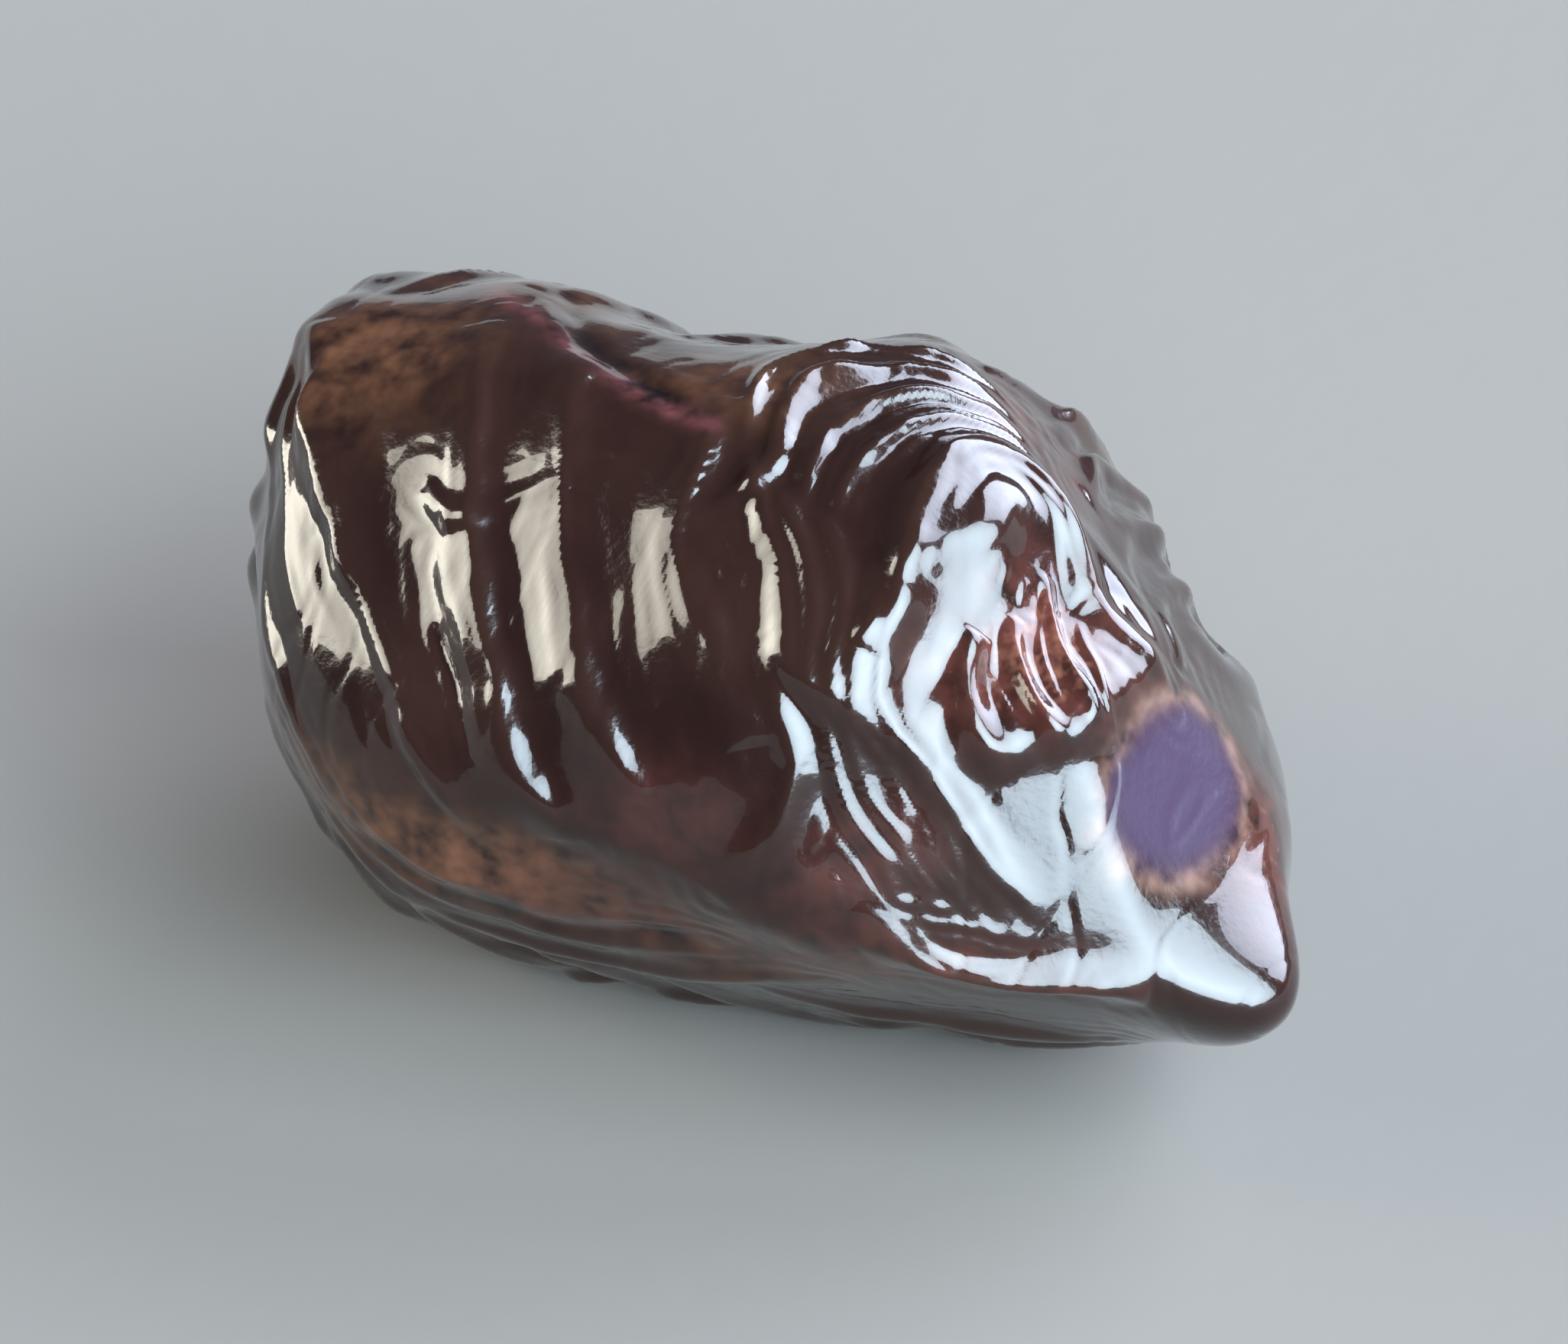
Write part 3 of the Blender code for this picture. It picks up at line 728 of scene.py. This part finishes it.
def skin_material(look):
    """Cured olive skin under a film of oil.

    The skin dried and shrank in salt, so it is near black with a red-brown cast, redder where it is thin, and
    the oil on it mirrors the windows in sharp, bright shapes. Painted light lies in its colour too: a
    highlight on the crests of the folds, shade in their creases, reflections in the brown patches on the
    front, and a grey-violet sheen on the facet near the tip. That facet has less oil and a rougher skin, so
    its gloss is nearly gone.
    """
    material = bpy.data.materials.new("oil_cured_olive_skin")
    material.use_nodes = True
    tree = material.node_tree
    shader = tree.nodes["Principled BSDF"]
    place = add_node(tree, "ShaderNodeTexCoord").outputs["Object"]
    read = {
        name: add_node(tree, "ShaderNodeAttribute", attribute_name=name).outputs["Fac"]
        for name in ("fold", "matt_sheen", "border", "red", "brown", "vein", "scar")
    }
    blotch = add_node(tree, "ShaderNodeTexNoise", {"Vector": place, "Scale": BLOTCH_SCALE, "Detail": 2.0})
    # The facet's matt patch: less oil, a rougher skin, and a painted violet sheen in its colour
    matt_sheen = add_node(tree, "ShaderNodeMath", {0: read["matt_sheen"], 1: look.matt_sheen}, operation="MULTIPLY")
    tree.links.new(skin_colour(tree, look, place, read, blotch, matt_sheen), shader.inputs["Base Color"])

    thinner = {0: matt_sheen, 1: FILM_ON_MATT_SHEEN - FILM_ON_SKIN, 2: FILM_ON_SKIN}
    film = add_node(tree, "ShaderNodeMath", thinner, operation="MULTIPLY_ADD")
    tree.links.new(film.outputs[0], shader.inputs["Coat Weight"])

    dull = look.roughness
    for share, more in ((matt_sheen, MATT_SHEEN_ROUGHNESS), (read["scar"], SCAR_ROUGHNESS), (blotch, BLOTCH_ROUGHNESS)):
        dull = add_node(tree, "ShaderNodeMath", {0: share, 1: more, 2: dull}, operation="MULTIPLY_ADD")
    tree.links.new(dull.outputs[0], shader.inputs["Roughness"])

    # The grain is in the skin under the oil, so the film over it stays smooth
    grain = add_node(tree, "ShaderNodeTexNoise", {"Vector": place, "Scale": GRAIN_SCALE, "Detail": 2.0})
    rise = {"Height": grain, "Strength": GRAIN_STRENGTH, "Distance": GRAIN_HEIGHT}
    bump = add_node(tree, "ShaderNodeBump", rise)
    tree.links.new(bump.outputs["Normal"], shader.inputs["Normal"])

    shader.inputs["Specular IOR Level"].default_value = SKIN_SPECULAR
    shader.inputs["Coat IOR"].default_value = OIL_IOR
    shader.inputs["Coat Roughness"].default_value = look.oil_roughness
    return material


def floor_material(colour):
    """Matt painted board: rolled paint, even and pale, which gives soft shadows and no glare."""
    material = bpy.data.materials.new("matt_painted_board")
    material.use_nodes = True
    tree = material.node_tree
    shader = tree.nodes["Principled BSDF"]
    place = add_node(tree, "ShaderNodeTexCoord").outputs["Object"]
    stipple = add_node(tree, "ShaderNodeTexNoise", {"Vector": place, "Scale": STIPPLE_SCALE, "Detail": 2.0})
    rise = {"Height": stipple, "Strength": STIPPLE_STRENGTH, "Distance": STIPPLE_HEIGHT}
    bump = add_node(tree, "ShaderNodeBump", rise)
    tree.links.new(bump.outputs["Normal"], shader.inputs["Normal"])
    shader.inputs["Base Color"].default_value = (*colour, 1)
    shader.inputs["Roughness"].default_value = FLOOR_ROUGHNESS
    shader.inputs["Specular IOR Level"].default_value = FLOOR_SPECULAR
    return material


def towards(azimuth, elevation):
    """Direction from the olive to something at an azimuth from the front and an elevation, in degrees."""
    a, e = math.radians(azimuth), math.radians(elevation)
    return Vector((math.sin(a) * math.cos(e), -math.cos(a) * math.cos(e), math.sin(e)))


def add_window(name, strength):
    """A window as an area light that faces the olive and isn't seen itself."""
    azimuth, elevation, width, height, turn, spread, colour = WINDOWS[name]
    back = towards(azimuth, elevation)
    light = bpy.data.lights.new(f"{name}_window", "AREA")
    light.shape = "RECTANGLE"
    light.size, light.size_y = width, height
    light.spread = math.radians(spread)

    # A narrow spread packs the power into fewer directions, so this cuts it to keep the brightness
    beam = 1 - light.spread / 2 / math.tan(light.spread / 2)
    light.energy = strength * width * height * math.pi * beam
    light.color = linear(colour)
    window = bpy.data.objects.new(f"{name}_window", light)
    window.location = back * WINDOW_DISTANCE + Vector((0, 0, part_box(NODE)[1][2] / 2))
    window.rotation_mode = "QUATERNION"
    window.rotation_quaternion = back.to_track_quat("Z", "Y") @ Quaternion((0, 0, 1), -math.radians(turn))
    window.visible_camera = False
    bpy.context.scene.collection.objects.link(window)


def add_camera(view):
    """The camera at the viewing angle, aimed at the olive's middle."""
    low, high = (Vector(corner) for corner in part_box(NODE))
    camera = bpy.data.cameras.new("camera")
    camera.lens = view.lens
    camera.clip_start = MM
    holder = bpy.data.objects.new("camera", camera)
    back = towards(view.azimuth, view.elevation)
    distance = (high - low).length * view.lens / camera.sensor_width / view.fill
    holder.location = (low + high) / 2 + back * distance
    holder.rotation_mode = "QUATERNION"
    holder.rotation_quaternion = back.to_track_quat("Z", "Y")
    bpy.context.scene.collection.objects.link(holder)
    bpy.context.scene.camera = holder


def length_setting(name, description, default):
    """A length in metres that a user may change."""
    return bpy.props.FloatProperty(
        name=name, description=description, default=default, min=0.0, unit="LENGTH", precision=6
    )


def tint_setting(name, description, code):
    """A colour that a user may change."""
    return bpy.props.FloatVectorProperty(
        name=name, description=description, default=linear(code), size=3, min=0.0, max=1.0, subtype="COLOR"
    )


class OliveWrinkles(bpy.types.PropertyGroup):
    """Sizes of the skin's mesh and of its fine wrinkles."""

    cells: bpy.props.IntProperty(
        name="Cells",
        description="Cells along a side of the cube that the skin is cut from",
        default=128,
        min=8,
    )
    height: length_setting("Wrinkle height", "Height of the fine wrinkles beside the folds", 0.000014)
    spacing: length_setting("Wrinkle spacing", "Distance from one fine wrinkle to the next", 0.00055)
    reach: length_setting("Wrinkle reach", "How far from a fold its fine wrinkles go", 0.0016)
    crease_depth: length_setting("Crease depth", "Depth of the thin creases across the fruit", 0.000020)
    crease_spacing: length_setting("Crease spacing", "Distance between the thin creases", 0.0015)


class OliveFinish(bpy.types.PropertyGroup):
    """Colours and gloss of the skin."""

    skin: tint_setting("Skin", "Near-black skin", "#150907")
    mottle: tint_setting("Mottle", "Brown mottling in the skin", "#1f110d")
    # Painted highlight on the crests of the folds, and painted shade in their creases
    crest_highlight: tint_setting("Crest", "Skin stretched thin over the folds", "#1d100c")
    crease_shade: tint_setting("Crease", "Skin at the bottom of a fold", "#080404")
    # Brown patches: partly painted reflection of warm surroundings, partly the skin's own brown tone
    brown_tone_and_reflection: tint_setting("Brown", "Brown flesh that shows through thin skin", "#4e3222")
    flesh: tint_setting("Red", "Red flesh that shows through thin skin", "#43211b")
    ember: tint_setting("Specks", "Orange specks in the red flesh", "#543328")
    vein: tint_setting("Vein", "Red vein along the saddle", "#522b2d")
    border: tint_setting("Border", "Pale border round the facet", "#5e463c")
    # Painted violet sheen on the facet near the tip
    facet: tint_setting("Facet", "Violet bloom on the facet near the tip", "#26192b")
    scar: tint_setting("Scar", "Dry scar of the stalk", "#3a2c20")
    # How much of the facet's matt patch with its painted sheen there is
    matt_sheen: bpy.props.FloatProperty(
        name="Bloom",
        description="How much bloom covers the facet",
        default=1.0,
        min=0.0,
        max=1.0,
        subtype="FACTOR",
    )
    roughness: bpy.props.FloatProperty(
        name="Skin roughness", description="Roughness under the oil", default=0.12, min=0.0, max=1.0
    )
    oil_roughness: bpy.props.FloatProperty(
        name="Oil roughness", description="Roughness of the film of oil", default=0.03, min=0.0, max=1.0
    )


class OliveStage(bpy.types.PropertyGroup):
    """Camera, floor and light."""

    azimuth: bpy.props.FloatProperty(
        name="Azimuth", description="Camera's angle round the olive from the front, in degrees", default=28.0
    )
    elevation: bpy.props.FloatProperty(
        name="Elevation", description="Camera's angle above the floor, in degrees", default=36.0
    )
    lens: bpy.props.FloatProperty(
        name="Lens", description="Focal length in millimetres", default=420.0, min=1.0, unit="CAMERA"
    )
    fill: bpy.props.FloatProperty(
        name="Fill", description="Share of the picture's width that the olive's box would fill", default=1.02
    )
    floor_size: length_setting("Floor size", "Width of the floor", 8.0)
    floor: tint_setting("Floor", "Painted board", "#605c58")
    sky: tint_setting("Sky", "Light of the room", "#efe9ff")
    sky_strength: bpy.props.FloatProperty(
        name="Room light", description="Strength of the room's light", default=0.13, min=0.0
    )
    cool: bpy.props.FloatProperty(
        name="Cool window", description="Brightness of the window on the right", default=28.0, min=0.0
    )
    warm: bpy.props.FloatProperty(
        name="Warm window", description="Brightness of the window on the left", default=15.0, min=0.0
    )
    back: bpy.props.FloatProperty(
        name="Back window", description="Brightness of the window behind", default=17.0, min=0.0
    )


class OBJECT_OT_olive_skin(bpy.types.Operator):
    """Makes the olive's wrinkled skin round its solid"""

    bl_idname = "object.olive_skin"
    bl_label = "Make the olive"

    def execute(self, context):
        sizes, look = context.scene.olive_wrinkles, context.scene.olive_finish
        material = skin_material(look)
        mesh = plain_mesh(
            form_mesh(sizes.cells),
            wrinkle_tree(),
            {
                "Wrinkle height": sizes.height,
                "Wrinkle spacing": sizes.spacing,
                "Wrinkle reach": sizes.reach,
                "Crease depth": sizes.crease_depth,
                "Crease spacing": sizes.crease_spacing,
                "Skin": material,
            },
        )
        mesh.name = "olive_skin"
        olive = bpy.data.objects.new("olive_skin", mesh)
        context.scene.collection.objects.link(olive)
        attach(olive, "root")
        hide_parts(NODE)
        return {"FINISHED"}


class OBJECT_OT_olive_stage(bpy.types.Operator):
    """Makes the floor, the light and the camera"""

    bl_idname = "object.olive_stage"
    bl_label = "Make the stage"

    def execute(self, context):
        stage = context.scene.olive_stage
        half = stage.floor_size / 2
        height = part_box(NODE)[0][2]
        mesh = bpy.data.meshes.new("floor")
        corners = [(x, y, height) for x, y in ((-half, -half), (half, -half), (half, half), (-half, half))]
        mesh.from_pydata(corners, [], [(0, 1, 2, 3)])
        mesh.materials.append(floor_material(stage.floor))
        floor = bpy.data.objects.new("floor", mesh)
        context.scene.collection.objects.link(floor)

        room = bpy.data.worlds.new("room")
        room.use_nodes = True
        background = room.node_tree.nodes["Background"]
        background.inputs["Color"].default_value = (*stage.sky, 1)
        background.inputs["Strength"].default_value = stage.sky_strength
        context.scene.world = room
        for name in WINDOWS:
            add_window(name, getattr(stage, name))
        add_camera(stage)
        context.scene.view_settings.view_transform = "Standard"
        return {"FINISHED"}


class VIEW3D_PT_olive(bpy.types.Panel):
    """Sizes, colours and the two steps that make the olive and its stage"""

    bl_label = "Olive"
    bl_idname = "VIEW3D_PT_olive"
    bl_space_type = "VIEW_3D"
    bl_region_type = "UI"
    bl_category = "Olive"

    def draw(self, context):
        steps = (
            (OBJECT_OT_olive_skin, (context.scene.olive_wrinkles, context.scene.olive_finish)),
            (OBJECT_OT_olive_stage, (context.scene.olive_stage,)),
        )
        for operator, groups in steps:
            box = self.layout.box()
            for group in groups:
                for name in group.__annotations__:
                    box.prop(group, name)
            box.operator(operator.bl_idname)


CLASSES = (
    OliveWrinkles,
    OliveFinish,
    OliveStage,
    OBJECT_OT_olive_skin,
    OBJECT_OT_olive_stage,
    VIEW3D_PT_olive,
)
GROUPS = {"olive_wrinkles": OliveWrinkles, "olive_finish": OliveFinish, "olive_stage": OliveStage}


def register():
    for kind in CLASSES:
        bpy.utils.register_class(kind)
    for name, group in GROUPS.items():
        setattr(bpy.types.Scene, name, bpy.props.PointerProperty(type=group))


def unregister():
    for name in GROUPS:
        delattr(bpy.types.Scene, name)
    for kind in reversed(CLASSES):
        bpy.utils.unregister_class(kind)


def main():
    register()
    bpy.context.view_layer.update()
    bpy.ops.object.olive_stage()
    bpy.ops.object.olive_skin()


if __name__ == "__main__":
    main()
